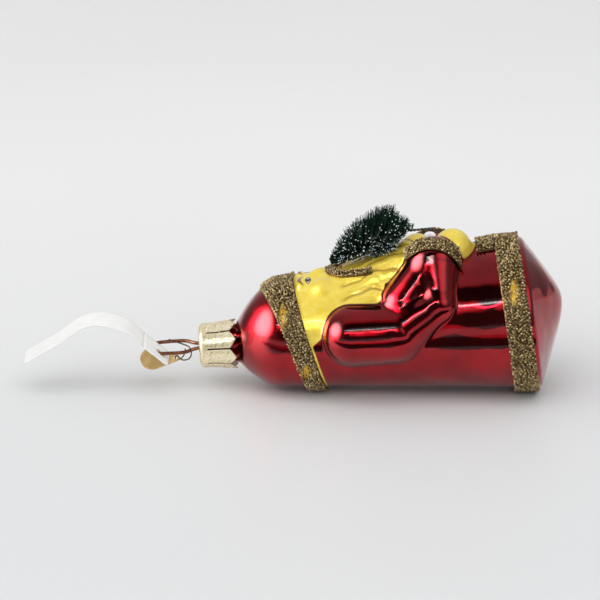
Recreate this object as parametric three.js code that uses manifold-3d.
// A blown-glass Father Christmas ornament that lies on its back.
// Millimetres. +X runs from the tags to the coned base, +Z is up and the surface below is at Z = 0.
import * as THREE from 'three';
import { mergeVertices } from 'three/addons/utils/BufferGeometryUtils.js';
import Module from 'manifold-3d';

const wasm = await Module();
wasm.setup();

const { cos, sin, tan, hypot, abs, max, min, PI } = Math;
const { degToRad: radians, lerp } = THREE.MathUtils;

// Driving dimensions.
// The figure has its own frame: x along it from the hood's start to the base, y across, z to its front.

// How it lies
const LIE_TILT = radians(8.5); // the axis rises toward the base
const REST_DROP = 13.55; // from the axis at the hood's start down to the surface

// Glass shell
const WALL = 0.9;
const NECK_RADIUS = 5.6;
const NECK_LENGTH = 11.3; // from the lip to the hood's start
const NECK_TILT = radians(4.8); // the neck bends back from the figure's axis
const NECK_ROOT_HEIGHT = 0.35;
const HOOD_RADIUS = 16.3;
const HOOD_LENGTH = 14.3;
const HOOD_FLARE = 1.6; // the hood's curve begins this far up the neck
const HOOD_FULLNESS = 1.9;
const HOOD_CENTRE_HEIGHT = 1.65;
const COAT_LENGTH = 74.3; // from the hood's full width to the rim
const RIM_RADIUS = 23.2;
const RIM_CENTRE_HEIGHT = -2.45;
const BASE_HEIGHT = 9.8;
const BASE_TIP_HEIGHT = 0.2;
const BASE_TIP_ROUND = 5.0;
const SOFT_BLEND = 1.5; // width over which two rounded forms run together
const CREASE_BLEND = 0.8; // narrower, where a crease stays between them

// Head: the middle of each feature from the tip of the nose, and its half sizes
const NOSE_X = 25.6;
const NOSE_HEIGHT = 20.1;
const NOSE_OFFSET = [0, 0, -2.2];
const NOSE_SIZE = [2.9, 1.9, 2.2];
const SKULL_OFFSET = [-1.6, 0, -12.6];
const SKULL_SIZE = [8, 12, 11];
const EYE_OFFSET = [-5.4, 3.6, -3.1];
const EYE_SIZE = [1.5, 3.4, 1.7];
const CHEEK_OFFSET = [0.9, 6, -5.5];
const CHEEK_SIZE = [4.2, 4, 3.8];

// Beard
const BEARD_START_X = 31.0;
const BEARD_TO_WRIST = 7.5; // along the figure
const BEARD_START_HEIGHT = 19.2;
const BEARD_END_HEIGHT = 24.8;
const BEARD_START_RADIUS = 10.0;
const BEARD_END_RADIUS = 6.6;
const BEARD_WIDENING = 1.3;

// Arms and mittens
const SHOULDER_X = 33.5;
const SHOULDER_SPREAD = 14.5;
const SHOULDER_HEIGHT = 2.8;
const SHOULDER_RADIUS = 9.2;
const SLEEVE_TO_RIM = 40.6; // to the fullest part of the upper sleeve
const SLEEVE_SPREAD = 15.0;
const SLEEVE_HEIGHT = 1.9;
const SLEEVE_RADIUS = 9.0;
const ELBOW_TO_RIM = 26.8;
const ELBOW_SPREAD = 15.5;
const ELBOW_HEIGHT = 8.6;
const ELBOW_RADIUS = 5.4;
const WRIST_TO_RIM = 26.5;
const WRIST_SPREAD = 7.5;
const WRIST_DROP = 5.8; // below the beard's end, which lies on the wrists
const WRIST_RADIUS = 8.2;
const LEFT_WRIST_DROP = 4.0; // the left hand is held lower than the right
const LEFT_WRIST_REACH = 2.0; // and farther out
const FOLD_START_OFFSET = [-10.5, -3, 0.9]; // from the elbow to the fold inside it
const FOLD_START_RADIUS = 7.0;
const FOLD_END_OFFSET = [-2, 1, -1.3]; // from the wrist
const FOLD_END_RADIUS = 6.8;
const MITTEN_SIZE = [5.9, 6.5, 6.2];
const MITTEN_SPACING = 10.6; // the two mittens lie one below the other
const MITTEN_RISE = 2.0; // above the wrists
const MITTEN_REACH = 6.0; // from the wrist on to the right mitten
const RIGHT_MITTEN_ACROSS = -2.2;
const LEFT_MITTEN_ACROSS = 3.0;
const LEFT_MITTEN_DROP = 1.6;

// Micro-bead trims
const TRIM_GAP = 0.35;
const CUFF_GAP = 1.0; // wider, because the wrist folds sharply under the cuff
const TRIM_THICKNESS = 1.1;
const HOOD_BAND_FRONT_X = 7.5; // where it starts at the front and at the back
const HOOD_BAND_BACK_X = 17.6;
const HOOD_BAND_FRONT_WIDTH = 10.7;
const HOOD_BAND_BACK_WIDTH = 5.9;
const HOOD_BAND_ROUND = 0.1; // rounds the front of its near edge, as a share of the lean
const HEM_BAND_WIDTH = 7.6;
const HEM_BAND_INSET = 0.6; // from the rim
const PLACKET_HALF_WIDTH = 5.7;
const PLACKET_LENGTH = 4.4;
const RIDGE_RISE = 1.2; // of the moulded ridge under the placket, above the coat
const RIDGE_RADIUS = 8.0;
const RIDGE_LENGTH = 8.0; // back from the hem band
const RIDGE_INSET = 6.5; // from the rim
const CUFF_WIDTH = 5.2;
const CUFF_LIFT = 0.2; // of the cuff's arch above the wrist
const CUFF_OFFSET = [0, -1, 0.3]; // from the wrist's middle to the arch's middle
const CUFF_TILT = radians(62); // of the forearm, from straight up toward the middle
const CUFF_SWEEP = [radians(-92), radians(72)]; // from its highest point, toward the crown and the base
const CUFF_DIP = 3.4; // of its foot nearest the base, back along the forearm
const MOUSTACHE_X = 29.4;
const MOUSTACHE_REACH = 7.6;
const MOUSTACHE_DROOP = 12.4;
const MOUSTACHE_WIDTH = 3.0;
const MOUSTACHE_TAPER = 0.3; // share of its width lost at each end

// Bottle-brush tree
const TREE_TIP_OVERHANG = 1.0; // past the beard's start
const TREE_END_INSET = 0.8; // from the beard's end
const TREE_TIP_LIFT = 2.6; // of the core above the beard
const TREE_END_LIFT = 3.2;
const TREE_RADIUS = 10.2;
const TREE_OUTLINE = [0.04, 0.8]; // part of a half wave that gives the outline, tip to trunk
const TREE_SHARPNESS = 1.3; // power of that wave: more draws both ends in
const TREE_UNDERSIDE = 0.45; // length of the strands that point down, as a share of those that point up
const STRAND_LEAN = [-0.35, 0.5]; // share of a strand's length, toward the tip and the trunk
const STRAND_STEP = 0.3;
const STRAND_SCATTER = 0.8; // share of the space between two strands
const TREE_CORE_RADIUS = 0.7;
const TREE_RINGS = 40;
const TREE_SIDES = 8;
const TREE_SLICES = 4;
const TREE_SLICE_GAP = 0.3;
const BRISTLE_CLEARANCE = 0.4;
const TRUNK_RADIUS = 0.45;
const TRUNK_DROP = 0.4; // from the tree to its own end over the wrists
const TRUNK_REACH = 1.0; // past the wrists
const GLUE_LENGTH = 3.6;
const GLUE_WIDTH = 1.5;
const GLUE_LIFT = 0.85; // above the glass on the middle line, clear of the wrists beside it
const GLUE_REACH_BACK = 1.2; // from the trunk's end to the middle of the glue drop

// Crown cap
const CAP_RADIUS = 6.45;
const CAP_SHEET = 0.35;
const CAP_LENGTH = 10.8;
const CAP_FLARE = 0.75;
const CAP_STRAIGHT = 0.4; // share of its length before it flares
const CAP_CORNER = 1.0;
const CAP_HEADROOM = 0.95; // between the glass lip and the cap's closed end
const PETALS = 8;
const CAP_TURN = radians(-16); // of the cap on the neck, from a petal straight up
const PETAL_SLIT = 0.45;
const PETAL_SLIT_LENGTH = 8.7;
const PETAL_POINT = 1.8;

// Wire hanger
const WIRE_RADIUS = 0.55;
const LOOP_LENGTH = 15.5;
const LOOP_HALF_WIDTH = 4.2;
const LOOP_THROAT = 1.6; // half the distance of the two strands where they leave the cap
const LOOP_BEND = [[0.5, -2.4], [0, 0.4], [0.9, 2.4]]; // [out from the throat, out of the cap]
const LOOP_BELLY = 5.2; // from the cap to where the strands stand farthest apart
const LOOP_TURN = radians(-6); // the loop's plane about the neck's axis
const LEG_LENGTH = 17.0;
const LEG_SPREAD = 3.65;
const HOLE_CLEARANCE = 0.35;

// Tags and tie wire
const PAPER_WIDTH = 13.0;
const PAPER_THICKNESS = 0.35;
const PAPER_HOLE_RADIUS = 1.75;
const PAPER_CORNER = 1.6;
const PAPER_HOLE_REACH = 11.9; // from the cap's closed end along the loop
const PAPER_CURL = [ // [along, up] from the hole, over the top and down to the free end
  [2.2, -1.85], [0, 0], [-3.3, 2.75], [-10.8, 8.9], [-18.6, 11.0], [-23, 10.0], [-32, 4.2], [-41, -1.3],
];
const GOLD_THICKNESS = 0.4;
const GOLD_DISC_RADIUS = 4.0;
const GOLD_DISC_REACH = 7.0; // from the tag's hole to the middle of its round end
const GOLD_NECK_RADIUS = 1.3;
const GOLD_HOLE_RADIUS = 0.75;
const GOLD_HOLE_OFFSET = [-1.5, 5.2, -3.4]; // from the near strand at the tie
const TIE_REACH = 6.3; // from the cap's closed end along the loop
const TIE_RADIUS = 0.2;
const TIE_ROUTE = [ // from its free tail over the near strand, down through the small tag and back up
  [-3.2, 2.2, 3.4], [0.9, 2.0, 2.0], [2.8, 0.7, 1.5], [3.5, -1.4, 0.3],
  [2.8, -1.2, -1.5], [0.8, 0.8, -2.6], [-1.0, 4.3, -2.5], [-1.5, 5.2, -3.4],
  [-1.7, 6.0, -4.4], [-0.2, 6.6, -4.3], [1.0, 5.0, -2.6], [1.6, 2.0, 0.4],
];

// Where the rows and steps of the curved skins lie
const GLASS_TURNS = 44;
const NECK_ROWS = [1, 0.66, 0.33]; // shares of the neck's length
const HOOD_ROWS = [-0.115, -0.05, 0.02, 0.1, 0.19, 0.3, 0.44, 0.61, 0.8]; // of the hood's length
const BASE_ROWS = [0.985, 0.93, 0.82, 0.66, 0.5, 0.34, 0.18]; // of the rim's radius
const ROW_PITCH = 2.1;
const FAN_INSET = 2; // from the rim back to the point where the base's rays meet
const RAY_STEP = 0.6;
const RAY_HALVINGS = 22;
const BAND_STEPS = GLASS_TURNS;
const PLACKET_STEPS = 5;
const MOUSTACHE_STEPS = 20;
const CUFF_STEPS = 22;
const WIRE_SIDES = 8;
const HANGER_STEPS = 80;
const TRUNK_STEPS = 8;
const TIE_SIDES = 6;
const TIE_STEPS = 40;
const PAPER_STEPS = 20;
const PAPER_CORNER_ROWS = [0, 0.19, 0.56, 1]; // shares of the corner's radius
const HOLE_SIDES = 20;
const CORNER_STEPS = 4;

// Values that follow from them
const HOOD_FULL_X = HOOD_LENGTH - HOOD_FLARE;
const RIM_X = HOOD_FULL_X + COAT_LENGTH;
const LIP_X = -NECK_LENGTH;
const FAN_X = RIM_X - FAN_INSET;
const SLEEVE_X = RIM_X - SLEEVE_TO_RIM;
const ELBOW_X = RIM_X - ELBOW_TO_RIM;
const WRIST_X = RIM_X - WRIST_TO_RIM;
const BEARD_END_X = WRIST_X - BEARD_TO_WRIST;
const HEM_END_X = RIM_X - HEM_BAND_INSET;
const HEM_START_X = HEM_END_X - HEM_BAND_WIDTH;
const PLACKET_END_X = HEM_START_X - TRIM_GAP;
const RIDGE_START_X = HEM_START_X - RIDGE_LENGTH;
const RIDGE_END_X = RIM_X - RIDGE_INSET;
const ACROSS = new THREE.Vector3(0, 1, 0);

const materials = {
  glass: new THREE.MeshStandardMaterial({ color: 0x8c1420, roughness: 0.08, metalness: 0.75 }),
  beads: new THREE.MeshStandardMaterial({ color: 0x6e5533, roughness: 0.55, metalness: 0.4 }),
  bristle: new THREE.MeshStandardMaterial({ color: 0x1f3d2c, roughness: 0.9, metalness: 0 }),
  wire: new THREE.MeshStandardMaterial({ color: 0x6a4a30, roughness: 0.45, metalness: 0.8 }),
  tin: new THREE.MeshStandardMaterial({ color: 0xc9ab78, roughness: 0.3, metalness: 0.9 }),
  gold: new THREE.MeshStandardMaterial({ color: 0xc7a569, roughness: 0.4, metalness: 0.6 }),
  paper: new THREE.MeshStandardMaterial({ color: 0xf2f2ef, roughness: 0.8, metalness: 0 }),
  glue: new THREE.MeshStandardMaterial({ color: 0xe8e6ee, roughness: 0.2, metalness: 0 }),
};

// Turns a point of the figure's frame into the lying frame, in place.
const figureToWorld = new THREE.Matrix4()
  .makeRotationY(-LIE_TILT)
  .setPosition(0, 0, REST_DROP);
const lie = (point) => point.applyMatrix4(figureToWorld);

// Joins rows of points into one closed skin. Faces turn outward whatever way the rows run.
class Skin {
  constructor() {
    this.points = [];
    this.faces = [];
  }

  add(point) {
    this.points.push(point.x, point.y, point.z);
    return this.points.length / 3 - 1;
  }

  quad(a, b, c, d) {
    this.faces.push(a, b, c, a, c, d);
  }

  volume() {
    const [a, b, c] = [new THREE.Vector3(), new THREE.Vector3(), new THREE.Vector3()];
    let sum = 0;
    for (let i = 0; i < this.faces.length; i += 3) {
      a.fromArray(this.points, 3 * this.faces[i]);
      b.fromArray(this.points, 3 * this.faces[i + 1]);
      c.fromArray(this.points, 3 * this.faces[i + 2]);
      sum += a.dot(b.cross(c)) / 6;
    }
    return sum;
  }

  geometry() {
    if (this.volume() < 0) this.faces.reverse();
    const geometry = new THREE.BufferGeometry();
    geometry.setAttribute('position', new THREE.Float32BufferAttribute(this.points, 3));
    geometry.setIndex(this.faces);
    return geometry;
  }
}

// A skin over closed rings of points, drawn together to one point at each end.
function ringedSolid(startPoint, rings, endPoint) {
  const skin = new Skin();
  const start = skin.add(startPoint);
  const rows = rings.map((ring) => ring.map((point) => skin.add(point)));
  const end = skin.add(endPoint);
  const count = rings[0].length;
  for (let j = 0; j < count; j++) {
    const next = (j + 1) % count;
    skin.faces.push(start, rows[0][next], rows[0][j]);
    skin.faces.push(end, rows.at(-1)[j], rows.at(-1)[next]);
    for (let i = 0; i + 1 < rows.length; i++) {
      skin.quad(rows[i][j], rows[i][next], rows[i + 1][next], rows[i + 1][j]);
    }
  }
  return skin.geometry();
}

// A sheet between a grid of outer points and a grid of inner points. A closed one runs round in a ring.
function sheetSolid(outer, inner, closed = false) {
  const skin = new Skin();
  const top = outer.map((row) => row.map((point) => skin.add(point)));
  const under = inner.map((row) => row.map((point) => skin.add(point)));
  const last = top[0].length - 1;
  const steps = closed ? top.length : top.length - 1;
  for (let i = 0; i < steps; i++) {
    const k = (i + 1) % top.length;
    for (let j = 0; j < last; j++) {
      skin.quad(top[i][j], top[k][j], top[k][j + 1], top[i][j + 1]);
      skin.quad(under[i][j], under[i][j + 1], under[k][j + 1], under[k][j]);
    }
    skin.quad(top[i][0], under[i][0], under[k][0], top[k][0]);
    skin.quad(top[i][last], top[k][last], under[k][last], under[i][last]);
  }
  if (!closed) {
    const end = top.length - 1;
    for (let j = 0; j < last; j++) {
      skin.quad(top[0][j], top[0][j + 1], under[0][j + 1], under[0][j]);
      skin.quad(top[end][j], under[end][j], under[end][j + 1], top[end][j + 1]);
    }
  }
  return skin.geometry();
}

function tube(points, radius, sides, steps) {
  const curve = new THREE.CatmullRomCurve3(points, false, 'centripetal');
  const section = new THREE.Shape();
  for (let i = 0; i < sides; i++) {
    const angle = (2 * PI * i) / sides;
    if (i === 0) section.moveTo(radius, 0);
    else section.lineTo(radius * cos(angle), radius * sin(angle));
  }
  return new THREE.ExtrudeGeometry(section, { extrudePath: curve, steps, bevelEnabled: false });
}

function toSolid(geometry) {
  const bare = geometry.clone();
  bare.deleteAttribute('normal');
  bare.deleteAttribute('uv');
  const merged = mergeVertices(bare, 1e-4);
  const vertProperties = new Float32Array(merged.attributes.position.array);
  const triVerts = new Uint32Array(merged.index.array);
  return new wasm.Manifold(new wasm.Mesh({ numProp: 3, vertProperties, triVerts }));
}

function toGeometry(solid) {
  const mesh = solid.getMesh();
  const geometry = new THREE.BufferGeometry();
  geometry.setAttribute('position', new THREE.BufferAttribute(mesh.vertProperties, 3));
  geometry.setIndex(new THREE.BufferAttribute(mesh.triVerts, 1));
  return geometry;
}

// Glass shell as a field: negative inside the glass's outer surface, roughly millimetres outside it.

function coatCentre(x) {
  if (x < 0) return NECK_ROOT_HEIGHT - x * tan(NECK_TILT);
  if (x < HOOD_FULL_X) {
    return lerp(NECK_ROOT_HEIGHT, HOOD_CENTRE_HEIGHT, x / HOOD_FULL_X);
  }
  return lerp(HOOD_CENTRE_HEIGHT, RIM_CENTRE_HEIGHT, (x - HOOD_FULL_X) / COAT_LENGTH);
}

function coatRadius(x) {
  if (x > HOOD_FULL_X) {
    return lerp(HOOD_RADIUS, RIM_RADIUS, (x - HOOD_FULL_X) / COAT_LENGTH);
  }
  const along = max(0, (x + HOOD_FLARE) / HOOD_LENGTH);
  return NECK_RADIUS + (HOOD_RADIUS - NECK_RADIUS) * (1 - (1 - along) ** HOOD_FULLNESS);
}

const roundedRise = (r) => hypot(r, BASE_TIP_ROUND) - BASE_TIP_ROUND;

function baseField(x, y, z) {
  const along = (x - RIM_X) / BASE_HEIGHT;
  const centre = lerp(RIM_CENTRE_HEIGHT, BASE_TIP_HEIGHT, along);
  const drop = roundedRise(hypot(y, z - centre)) / roundedRise(RIM_RADIUS);
  return (x - RIM_X - BASE_HEIGHT * (1 - drop)) * cos(Math.atan2(BASE_HEIGHT, RIM_RADIUS));
}

function ellipsoid(x, y, z, [cx, cy, cz], [rx, ry, rz]) {
  const [dx, dy, dz] = [(x - cx) / rx, (y - cy) / ry, (z - cz) / rz];
  const reach = hypot(dx, dy, dz);
  const slope = hypot(dx / rx, dy / ry, dz / rz);
  return slope < 1e-9 ? -min(rx, ry, rz) : (reach * (reach - 1)) / slope;
}

// A round limb that runs from a to b and changes its radius evenly on the way.
function limb(x, y, z, a, ra, b, rb) {
  const [ux, uy, uz] = [b[0] - a[0], b[1] - a[1], b[2] - a[2]];
  const [px, py, pz] = [x - a[0], y - a[1], z - a[2]];
  const along = (px * ux + py * uy + pz * uz) / (ux * ux + uy * uy + uz * uz);
  const t = min(1, max(0, along));
  return hypot(px - t * ux, py - t * uy, pz - t * uz) - (ra + t * (rb - ra));
}

function blend(a, b, width) {
  const h = max(width - abs(a - b), 0) / width;
  return min(a, b) - (h * h * width) / 4;
}

const shifted = (point, offset) => point.map((value, i) => value + offset[i]);

const NOSE_TIP = [NOSE_X, 0, NOSE_HEIGHT];
const SHOULDER = [SHOULDER_X, SHOULDER_SPREAD, SHOULDER_HEIGHT];
const SLEEVE = [SLEEVE_X, SLEEVE_SPREAD, SLEEVE_HEIGHT];
const ELBOW = [ELBOW_X, ELBOW_SPREAD, ELBOW_HEIGHT];
const WRIST_HEIGHT = BEARD_END_HEIGHT - WRIST_DROP;
const MITTEN_HEIGHT = WRIST_HEIGHT + MITTEN_RISE;
const RIGHT_WRIST = [WRIST_X, WRIST_SPREAD, WRIST_HEIGHT];
const LEFT_WRIST = [WRIST_X, WRIST_SPREAD + LEFT_WRIST_REACH, WRIST_HEIGHT - LEFT_WRIST_DROP];
const BEARD_START = [BEARD_START_X, 0, BEARD_START_HEIGHT - BEARD_START_RADIUS];
const BEARD_END = [BEARD_END_X, 0, BEARD_END_HEIGHT - BEARD_END_RADIUS];

function faceField(x, y, z) {
  const side = abs(y);
  let d = ellipsoid(x, y, z, shifted(NOSE_TIP, SKULL_OFFSET), SKULL_SIZE);
  d = blend(d, ellipsoid(x, side, z, shifted(NOSE_TIP, EYE_OFFSET), EYE_SIZE), SOFT_BLEND);
  d = blend(d, ellipsoid(x, side, z, shifted(NOSE_TIP, CHEEK_OFFSET), CHEEK_SIZE), SOFT_BLEND);
  return blend(d, ellipsoid(x, y, z, shifted(NOSE_TIP, NOSE_OFFSET), NOSE_SIZE), SOFT_BLEND);
}

function armField(x, y, z) {
  const side = abs(y);
  const wrist = y > 0 ? LEFT_WRIST : RIGHT_WRIST;
  const upperArm = limb(x, side, z, SHOULDER, SHOULDER_RADIUS, SLEEVE, SLEEVE_RADIUS);
  const lowerSleeve = limb(x, side, z, SLEEVE, SLEEVE_RADIUS, ELBOW, ELBOW_RADIUS);
  const forearm = limb(x, side, z, ELBOW, ELBOW_RADIUS, wrist, WRIST_RADIUS);
  const fold = limb(
    x, side, z,
    shifted(ELBOW, FOLD_START_OFFSET), FOLD_START_RADIUS,
    shifted(wrist, FOLD_END_OFFSET), FOLD_END_RADIUS,
  );
  const sleeve = min(upperArm, lowerSleeve);
  return blend(blend(sleeve, forearm, SOFT_BLEND), fold, SOFT_BLEND);
}

function mittenField(x, y, z) {
  const rightX = WRIST_X + MITTEN_REACH;
  const leftX = rightX - MITTEN_SPACING;
  const right = ellipsoid(x, y, z, [rightX, RIGHT_MITTEN_ACROSS, MITTEN_HEIGHT], MITTEN_SIZE);
  const leftHeight = MITTEN_HEIGHT - LEFT_MITTEN_DROP;
  const left = ellipsoid(x, y, z, [leftX, LEFT_MITTEN_ACROSS, leftHeight], MITTEN_SIZE);
  return blend(right, left, CREASE_BLEND);
}

function ridgeField(x, y, z) {
  const end = (along) => [along, 0, coatCentre(along) + coatRadius(along) + RIDGE_RISE - RIDGE_RADIUS];
  return limb(x, y, z, end(RIDGE_START_X), RIDGE_RADIUS, end(RIDGE_END_X), RIDGE_RADIUS);
}

function glassField(x, y, z) {
  const coat = hypot(y, z - coatCentre(x)) - coatRadius(x);
  let d = -blend(-coat, -baseField(x, y, z), SOFT_BLEND);
  d = blend(d, ridgeField(x, y, z), CREASE_BLEND);
  d = blend(d, faceField(x, y, z), SOFT_BLEND);
  const beard = limb(
    x, y / BEARD_WIDENING, z,
    BEARD_START, BEARD_START_RADIUS, BEARD_END, BEARD_END_RADIUS,
  );
  d = blend(d, beard, CREASE_BLEND);
  d = blend(d, armField(x, y, z), CREASE_BLEND);
  return blend(d, mittenField(x, y, z), CREASE_BLEND);
}

// Distance from a point inside, along a direction, to where the field last reaches a lift.
function reachAlong(origin, direction, lift) {
  const at = (t) => glassField(
    origin.x + t * direction.x,
    origin.y + t * direction.y,
    origin.z + t * direction.z,
  ) - lift;
  let outside = 2 * RIM_RADIUS;
  while (outside > RAY_STEP && at(outside - RAY_STEP) > 0) outside -= RAY_STEP;
  let inside = outside - RAY_STEP;
  for (let i = 0; i < RAY_HALVINGS; i++) {
    const middle = (inside + outside) / 2;
    if (at(middle) > 0) outside = middle;
    else inside = middle;
  }
  return (inside + outside) / 2;
}

// Direction from the axis: turn 0 is the front, a quarter turn the left side (+y). Pitch leans along x.
function axisRay(turn, pitch) {
  return new THREE.Vector3(sin(pitch), cos(pitch) * sin(turn), cos(pitch) * cos(turn));
}

function onGlass(x, turn, lift) {
  const origin = new THREE.Vector3(x, 0, coatCentre(x));
  const direction = axisRay(turn, 0);
  return origin.addScaledVector(direction, reachAlong(origin, direction, lift));
}

function range(start, end, count) {
  return Array.from({ length: count }, (_, i) => start + ((end - start) * i) / (count - 1));
}

// Rings of rays from the axis. Those in the neck stand square to it, those of the base fan out.
function glassRays() {
  const rows = [];
  const addRow = (x, lean, pitch) => {
    rows.push(range(0, 2 * PI, GLASS_TURNS + 1).slice(1).map((turn) => {
      const origin = new THREE.Vector3(x, 0, coatCentre(x));
      const direction = axisRay(turn, pitch).applyAxisAngle(ACROSS, lean);
      return { origin, direction };
    }));
  };
  for (const share of NECK_ROWS) addRow(share * LIP_X, NECK_TILT, 0);
  for (const share of HOOD_ROWS) addRow(share * HOOD_FULL_X, 0, 0);
  const coatRows = Math.round((FAN_X - HOOD_FULL_X) / ROW_PITCH);
  for (const x of range(HOOD_FULL_X, FAN_X, coatRows)) addRow(x, 0, 0);
  for (const share of BASE_ROWS) {
    const radius = share * RIM_RADIUS;
    const rise = FAN_INSET + BASE_HEIGHT * (1 - roundedRise(radius) / roundedRise(RIM_RADIUS));
    addRow(FAN_X, 0, Math.atan2(rise, radius));
  }
  return rows;
}

// One shell of even wall: the outer skin, turned in at the neck's lip to a plainer inner skin
// of every second row, which keeps the wall from the lowest outer row beside it.
function glassGeometry() {
  const rays = glassRays();
  const reaches = rays.map((row) => row.map((ray) => reachAlong(ray.origin, ray.direction, 0)));
  const place = ({ origin, direction }, reach) => lie(origin.clone().addScaledVector(direction, reach));
  const outer = rays.map((row, i) => row.map((ray, j) => place(ray, reaches[i][j])));
  const innerRows = rays.map((_, i) => i).filter((i) => i % 2 === 0 || i === rays.length - 1);
  const inner = innerRows.map((i) => rays[i].map((ray, j) => {
    const beside = [i - 1, i, i + 1].map((row) => reaches[min(rays.length - 1, max(0, row))][j]);
    return place(ray, min(...beside) - WALL);
  }));
  const origin = new THREE.Vector3(FAN_X, 0, coatCentre(FAN_X));
  const tip = new THREE.Vector3(RIM_X + BASE_HEIGHT, 0, BASE_TIP_HEIGHT);
  const tipRay = { origin, direction: tip.sub(origin).normalize() };
  const tipReach = reachAlong(origin, tipRay.direction, 0);
  const skins = [...outer.reverse(), ...inner];
  return ringedSolid(place(tipRay, tipReach), skins, place(tipRay, tipReach - WALL));
}

// Bead trims: strips that follow the glass at an even gap, with rounded edges.

const TRIM_PROFILE = [[-1, 0.3], [-0.75, 0.9], [-0.25, 1], [0.25, 1], [0.75, 0.9], [1, 0.3]];

function trimGeometry(steps, closed, placeOf, gap = TRIM_GAP) {
  const outer = [];
  const inner = [];
  const rows = closed ? steps : steps + 1;
  for (let i = 0; i < rows; i++) {
    const along = i / steps;
    const lifted = TRIM_PROFILE.map(([across, height]) => {
      const [x, turn] = placeOf(along, across);
      return lie(onGlass(x, turn, gap + height * TRIM_THICKNESS));
    });
    for (const point of lifted) point.z = max(point.z, 0);
    outer.push(lifted);
    inner.push(TRIM_PROFILE.map(([across]) => lie(onGlass(...placeOf(along, across), gap))));
  }
  return sheetSolid(outer, inner, closed);
}

// The hood's band leans: it sits nearer the crown at the front, where it is also widest.
function hoodBand(along, across) {
  const turn = 2 * PI * along;
  const back = (1 - cos(turn)) / 2;
  const lean = (hypot(sin(turn / 2), HOOD_BAND_ROUND) - HOOD_BAND_ROUND) / (1 - HOOD_BAND_ROUND);
  const start = lerp(HOOD_BAND_FRONT_X, HOOD_BAND_BACK_X, lean);
  const end = lerp(
    HOOD_BAND_FRONT_X + HOOD_BAND_FRONT_WIDTH,
    HOOD_BAND_BACK_X + HOOD_BAND_BACK_WIDTH,
    back,
  );
  return [lerp(start, end, (across + 1) / 2), turn];
}

function hemBand(along, across) {
  return [lerp(HEM_START_X, HEM_END_X, (across + 1) / 2), 2 * PI * along];
}

function placketStrip(along, across) {
  const x = PLACKET_END_X - PLACKET_LENGTH * (1 - along);
  return [x, across * Math.asin(PLACKET_HALF_WIDTH / coatRadius(x))];
}

// Each half of the moustache leaves the middle sideways and bends down along the beard.
function moustacheStrip(along, across) {
  const sweep = (PI / 2) * (2 * along - 1);
  const x = MOUSTACHE_X + MOUSTACHE_DROOP * (1 - cos(sweep));
  const half = (MOUSTACHE_WIDTH / 2) * (1 - MOUSTACHE_TAPER * abs(2 * along - 1));
  const y = MOUSTACHE_REACH * sin(sweep);
  const widen = new THREE.Vector2(cos(sweep) * MOUSTACHE_REACH, -sin(sweep) * MOUSTACHE_DROOP)
    .normalize().multiplyScalar(across * half);
  return [x + widen.x, Math.atan2(y + widen.y, BEARD_START_HEIGHT - coatCentre(x))];
}

// A cuff arches over the back of the wrist. Its axis points along the forearm to the middle of the front.
const CUFF_AXIS = new THREE.Vector3(0, -sin(CUFF_TILT), cos(CUFF_TILT));
const CUFF_TOP = new THREE.Vector3(0, cos(CUFF_TILT), sin(CUFF_TILT));

function cuffStrip(side) {
  return (along, across) => {
    const sweep = lerp(...CUFF_SWEEP, along);
    const radius = WRIST_RADIUS + CUFF_LIFT;
    const wrist = side > 0 ? LEFT_WRIST : RIGHT_WRIST;
    const dip = CUFF_DIP * ((1 + sin(sweep)) / 2) ** 2;
    const point = new THREE.Vector3(...shifted(wrist, CUFF_OFFSET))
      .addScaledVector(CUFF_TOP, radius * cos(sweep))
      .addScaledVector(CUFF_AXIS, (across * CUFF_WIDTH) / 2 - dip);
    point.x += radius * sin(sweep);
    return [point.x, side * Math.atan2(point.y, point.z - coatCentre(point.x))];
  };
}

// Bottle-brush tree. Each face of its wire core grows into one tapered four-sided strand.

const TREE_TIP = new THREE.Vector3(
  BEARD_START_X - TREE_TIP_OVERHANG, 0, BEARD_START_HEIGHT + TREE_TIP_LIFT,
);
const TREE_END = new THREE.Vector3(
  BEARD_END_X - TREE_END_INSET, 0, BEARD_END_HEIGHT + TREE_END_LIFT,
);
const TREE_LENGTH = TREE_TIP.distanceTo(TREE_END);
const TREE_AXIS = TREE_END.clone().sub(TREE_TIP).normalize();
const TREE_UP = TREE_AXIS.clone().cross(ACROSS);
const GOLDEN_SHARE = (Math.sqrt(5) - 1) / 2;

function treePoint(along, turn, radius) {
  return TREE_TIP.clone()
    .addScaledVector(TREE_AXIS, along)
    .addScaledVector(TREE_UP, radius * cos(turn))
    .addScaledVector(ACROSS, radius * sin(turn));
}

// How far the trims under the tree rise above the glass: the moustache, bare beard, then the cuffs.
function trimRise(x) {
  if (x < MOUSTACHE_X + MOUSTACHE_DROOP) return TRIM_GAP + TRIM_THICKNESS;
  if (x < WRIST_X - WRIST_RADIUS - CUFF_WIDTH / 2) return 0;
  return CUFF_GAP + TRIM_THICKNESS;
}

// The strand stops short of the glass, and of the bead trims at both ends of the tree.
function strandTip(along, turn) {
  const share = along / TREE_LENGTH;
  const reach = TREE_RADIUS * lerp(1, TREE_UNDERSIDE, (1 - cos(turn)) / 2);
  const full = reach * sin(PI * lerp(...TREE_OUTLINE, share)) ** TREE_SHARPNESS;
  const lean = lerp(...STRAND_LEAN, share);
  let tip = treePoint(along, turn, TREE_CORE_RADIUS + STRAND_STEP / 3);
  for (let length = STRAND_STEP; length <= full; length += STRAND_STEP) {
    const next = treePoint(along + lean * length, turn, TREE_CORE_RADIUS + length);
    if (glassField(next.x, next.y, next.z) < BRISTLE_CLEARANCE + trimRise(next.x)) break;
    tip = next;
  }
  return tip;
}

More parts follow.
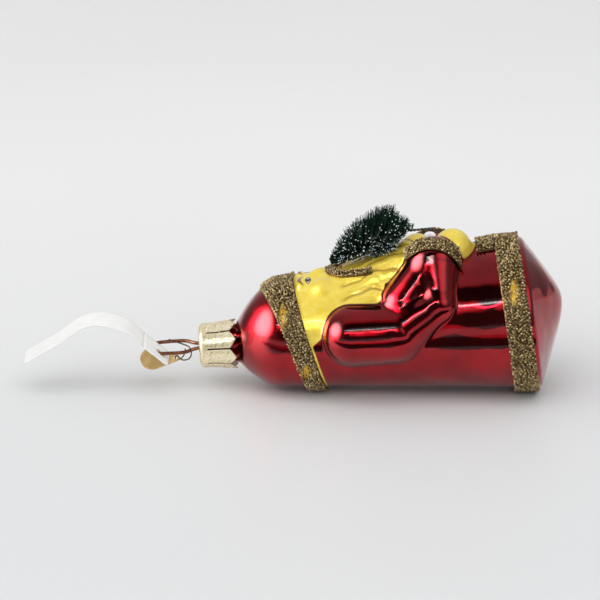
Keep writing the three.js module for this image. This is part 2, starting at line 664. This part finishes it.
function bristleSlice(index) {
  const rings = TREE_RINGS / TREE_SLICES;
  const pitch = TREE_LENGTH / TREE_RINGS;
  const start = index * rings * pitch + TREE_SLICE_GAP / 2;
  const step = (rings * pitch - TREE_SLICE_GAP) / rings;
  const side = (2 * PI) / TREE_SIDES;
  const skin = new Skin();
  const rows = range(0, rings, rings + 1).map((k) => range(0, TREE_SIDES - 1, TREE_SIDES).map((j) => (
    skin.add(lie(treePoint(start + k * step, (j - 0.5) * side, TREE_CORE_RADIUS)))
  )));
  for (let k = 0; k < rings; k++) {
    const scatter = STRAND_SCATTER * ((((index * rings + k) * GOLDEN_SHARE) % 1) - 0.5);
    for (let j = 0; j < TREE_SIDES; j++) {
      const next = (j + 1) % TREE_SIDES;
      const base = [rows[k][j], rows[k][next], rows[k + 1][next], rows[k + 1][j]];
      const tip = skin.add(lie(strandTip(start + (k + 0.5) * step, (j + scatter) * side)));
      for (let e = 0; e < 4; e++) skin.faces.push(base[e], base[(e + 1) % 4], tip);
    }
  }
  const ends = [[rows[0], start], [rows[rings], start + rings * step]];
  ends.forEach(([row, along], which) => {
    const middle = skin.add(lie(treePoint(along, 0, 0)));
    for (let j = 0; j < TREE_SIDES; j++) {
      const pair = [row[j], row[(j + 1) % TREE_SIDES]];
      if (which === 0) pair.reverse();
      skin.faces.push(middle, pair[0], pair[1]);
    }
  });
  return skin.geometry();
}

function trunkGeometry() {
  const start = treePoint(TREE_LENGTH + TREE_SLICE_GAP, 0, 0);
  const end = trunkEnd();
  return tube([start, start.clone().lerp(end, 0.5), end].map(lie), TRUNK_RADIUS, WIRE_SIDES, TRUNK_STEPS);
}

function trunkEnd() {
  return new THREE.Vector3(WRIST_X + TRUNK_REACH, 0, TREE_END.z - TRUNK_DROP);
}

// The drop lies in the valley between the wrists and rises to the trunk's end above it.
function glueGeometry() {
  const end = trunkEnd();
  const x = end.x - GLUE_REACH_BACK;
  const floor = onGlass(x, 0, GLUE_LIFT).z;
  const roof = end.z - TRUNK_RADIUS - TRIM_GAP;
  return new THREE.SphereGeometry(1, 12, 8)
    .scale(GLUE_LENGTH / 2, GLUE_WIDTH / 2, (roof - floor) / 2)
    .translate(x, 0, (roof + floor) / 2)
    .applyMatrix4(figureToWorld);
}

// Neck frame: z points out of the neck, y across, x up. Its origin is the middle of the cap's closed end.

const neck = new THREE.Group();
const capEnd = new THREE.Vector3(LIP_X, 0, coatCentre(LIP_X))
  .add(new THREE.Vector3(-cos(NECK_TILT), 0, sin(NECK_TILT)).multiplyScalar(CAP_HEADROOM + CAP_SHEET));
neck.position.copy(lie(capEnd.clone()));
neck.rotation.y = -PI / 2 - (LIE_TILT - NECK_TILT);
neck.updateMatrixWorld(true);

function capGeometry() {
  const hole = LOOP_THROAT + WIRE_RADIUS + HOLE_CLEARANCE;
  const inner = CAP_RADIUS - CAP_SHEET;
  const corner = (radius, depth) => range(0, PI / 2, CORNER_STEPS).map((bend) => (
    [radius - depth + depth * sin(bend), -depth * (1 - cos(bend))]
  ));
  const profile = [
    [hole, 0],
    ...corner(CAP_RADIUS, CAP_CORNER),
    [CAP_RADIUS, -CAP_LENGTH * CAP_STRAIGHT],
    [CAP_RADIUS + CAP_FLARE, -CAP_LENGTH],
    [inner + CAP_FLARE, -CAP_LENGTH],
    [inner, -CAP_LENGTH * CAP_STRAIGHT],
    ...corner(inner, CAP_CORNER - CAP_SHEET).reverse().map(([r, z]) => [r, z - CAP_SHEET]),
    [hole, -CAP_SHEET],
    [hole, 0],
  ].map(([r, z]) => new THREE.Vector2(r, z)).reverse();
  let solid = toSolid(new THREE.LatheGeometry(profile, PETALS * 5).rotateX(PI / 2));
  for (let i = 0; i < PETALS; i++) {
    solid = solid.subtract(toSolid(petalNotch().rotateZ((2 * PI * (i + 0.5)) / PETALS)));
  }
  return toGeometry(solid).rotateZ(CAP_TURN);
}

// The slit between two petals, opened to a wide notch so that each petal ends in a point.
function petalNotch() {
  const halfPetal = (PI * (CAP_RADIUS + CAP_FLARE)) / PETALS;
  const notch = new THREE.Shape();
  notch.moveTo(-PETAL_SLIT / 2, CAP_LENGTH - PETAL_SLIT_LENGTH);
  notch.lineTo(PETAL_SLIT / 2, CAP_LENGTH - PETAL_SLIT_LENGTH);
  notch.lineTo(PETAL_SLIT / 2, CAP_LENGTH - PETAL_POINT);
  notch.lineTo(halfPetal, CAP_LENGTH);
  notch.lineTo(halfPetal, CAP_LENGTH + PETAL_POINT);
  notch.lineTo(-halfPetal, CAP_LENGTH + PETAL_POINT);
  notch.lineTo(-halfPetal, CAP_LENGTH);
  notch.lineTo(-PETAL_SLIT / 2, CAP_LENGTH - PETAL_POINT);
  notch.closePath();
  const cutter = new THREE.ExtrudeGeometry(notch, { depth: CAP_RADIUS, bevelEnabled: false });
  const outward = new THREE.Matrix4().makeBasis(
    new THREE.Vector3(0, -1, 0),
    new THREE.Vector3(0, 0, -1),
    new THREE.Vector3(1, 0, 0),
  );
  return cutter.applyMatrix4(outward).translate(CAP_RADIUS / 2, 0, 0);
}

// The hanger's own plane: z out of the neck, y across.
function hangerPath() {
  const side = [
    [LEG_SPREAD, -LEG_LENGTH],
    [LEG_SPREAD, -LEG_LENGTH / 2],
    ...LOOP_BEND.map(([out, reach]) => [LOOP_THROAT + out, reach]),
    [LOOP_HALF_WIDTH, LOOP_BELLY],
    [LOOP_HALF_WIDTH, LOOP_LENGTH - LOOP_HALF_WIDTH],
  ];
  const bow = range(PI / 8, (7 * PI) / 8, 7).map((angle) => [
    -LOOP_HALF_WIDTH * cos(angle),
    LOOP_LENGTH - LOOP_HALF_WIDTH + LOOP_HALF_WIDTH * sin(angle),
  ]);
  const near = side.map(([y, z]) => [-y, z]);
  return [...near, ...bow, ...side.reverse()].map(([y, z]) => new THREE.Vector3(0, y, z));
}

const hanger = new THREE.Group();
hanger.rotation.z = LOOP_TURN;
neck.add(hanger);
neck.updateMatrixWorld(true);
const onHanger = (y, z) => hanger.localToWorld(new THREE.Vector3(0, y, z));

// The card hangs on the near strand, which runs through its punched hole.
function paperTagGeometry() {
  const hole = onHanger(-LOOP_HALF_WIDTH, PAPER_HOLE_REACH);
  const curve = new THREE.CatmullRomCurve3(PAPER_CURL.map(([x, z]) => new THREE.Vector3(x, 0, z)));
  const length = curve.getLength();
  const corner = PAPER_CORNER_ROWS.map((share) => share * PAPER_CORNER);
  const along = [
    ...corner,
    ...range(2 * PAPER_CORNER, length - 2 * PAPER_CORNER, PAPER_STEPS),
    ...corner.map((distance) => length - distance).reverse(),
  ];
  const top = [];
  const under = [];
  for (const distance of along) {
    const point = curve.getPointAt(distance / length).add(hole);
    const direction = curve.getTangentAt(distance / length);
    const normal = new THREE.Vector3(direction.z, 0, -direction.x);
    const toEnd = min(distance, length - distance, PAPER_CORNER);
    const inset = PAPER_CORNER - Math.sqrt(PAPER_CORNER ** 2 - (PAPER_CORNER - toEnd) ** 2);
    const half = PAPER_WIDTH / 2 - inset;
    const lift = normal.multiplyScalar(PAPER_THICKNESS / 2);
    const edges = [-half, half].map((across) => point.clone().addScaledVector(ACROSS, across));
    top.push(edges.map((edge) => edge.clone().add(lift)));
    under.push(edges.map((edge) => edge.clone().sub(lift)));
  }
  const [end, , beyond] = PAPER_CURL;
  const slope = Math.atan2(end[1] - beyond[1], end[0] - beyond[0]);
  const depth = 8 * PAPER_THICKNESS;
  const punch = new THREE.CylinderGeometry(PAPER_HOLE_RADIUS, PAPER_HOLE_RADIUS, depth, HOLE_SIDES)
    .rotateX(PI / 2)
    .rotateY(-slope)
    .translate(hole.x, hole.y, hole.z);
  return toGeometry(toSolid(sheetSolid(top, under)).subtract(toSolid(punch)));
}

// The small tag: a round end drawn in to a narrow neck at its hole, in a plane that faces up and near.
const GOLD_ALONG = new THREE.Vector3(-1, 0.2, -0.1).normalize();
const GOLD_DOWN = new THREE.Vector3(0, -0.8, -0.6).normalize();
const TIE_PLACE = onHanger(-LOOP_HALF_WIDTH, TIE_REACH);

function goldTagGeometry() {
  const lean = Math.acos((GOLD_DISC_RADIUS - GOLD_NECK_RADIUS) / GOLD_DISC_REACH);
  const outline = new THREE.Shape();
  outline.absarc(GOLD_DISC_REACH, 0, GOLD_DISC_RADIUS, -(PI - lean), PI - lean, false);
  outline.absarc(0, 0, GOLD_NECK_RADIUS, PI - lean, PI + lean, false);
  const hole = new THREE.Path();
  hole.absarc(0, 0, GOLD_HOLE_RADIUS, 0, 2 * PI, true);
  outline.holes.push(hole);
  const options = { depth: GOLD_THICKNESS, bevelEnabled: false, curveSegments: HOLE_SIDES };
  const plate = new THREE.ExtrudeGeometry(outline, options).translate(0, 0, -GOLD_THICKNESS / 2);
  const facing = new THREE.Vector3().crossVectors(GOLD_ALONG, GOLD_DOWN);
  plate.applyMatrix4(new THREE.Matrix4().makeBasis(GOLD_ALONG, GOLD_DOWN, facing));
  return plate.translate(...shifted(TIE_PLACE.toArray(), GOLD_HOLE_OFFSET));
}

function tieWireGeometry() {
  const points = TIE_ROUTE.map((point) => new THREE.Vector3(...point).add(TIE_PLACE));
  return tube(points, TIE_RADIUS, TIE_SIDES, TIE_STEPS);
}

// Assembly

const ornament = new THREE.Group();

function addPiece(parent, name, geometry, material) {
  const mesh = new THREE.Mesh(geometry, material);
  mesh.name = name;
  parent.add(mesh);
}

addPiece(ornament, 'glass_figure', glassGeometry(), materials.glass);
addPiece(ornament, 'hood_bead_band', trimGeometry(BAND_STEPS, true, hoodBand), materials.beads);
addPiece(ornament, 'hem_bead_band', trimGeometry(BAND_STEPS, true, hemBand), materials.beads);
addPiece(ornament, 'placket_beads', trimGeometry(PLACKET_STEPS, false, placketStrip), materials.beads);
const moustache = trimGeometry(MOUSTACHE_STEPS, false, moustacheStrip);
addPiece(ornament, 'moustache_beads', moustache, materials.beads);
for (const [name, side] of [['right_cuff_beads', -1], ['left_cuff_beads', 1]]) {
  addPiece(ornament, name, trimGeometry(CUFF_STEPS, false, cuffStrip(side), CUFF_GAP), materials.beads);
}

for (let i = 0; i < TREE_SLICES; i++) {
  addPiece(ornament, `tree_bristles_${i + 1}`, bristleSlice(i), materials.bristle);
}
addPiece(ornament, 'tree_trunk_wire', trunkGeometry(), materials.wire);
addPiece(ornament, 'tree_glue', glueGeometry(), materials.glue);

ornament.add(neck);
addPiece(neck, 'crown_cap', capGeometry(), materials.tin);
const hangerWire = tube(hangerPath(), WIRE_RADIUS, WIRE_SIDES, HANGER_STEPS);
addPiece(hanger, 'hanger_wire', hangerWire, materials.wire);
addPiece(ornament, 'tie_wire', tieWireGeometry(), materials.wire);
addPiece(ornament, 'paper_tag', paperTagGeometry(), materials.paper);
addPiece(ornament, 'gold_tag', goldTagGeometry(), materials.gold);

// The origin is the middle of the footprint, on the surface that the ornament lies on.
const box = new THREE.Box3().setFromObject(ornament);
ornament.position.x = -(box.min.x + box.max.x) / 2;
ornament.position.y = -(box.min.y + box.max.y) / 2;

export default ornament;
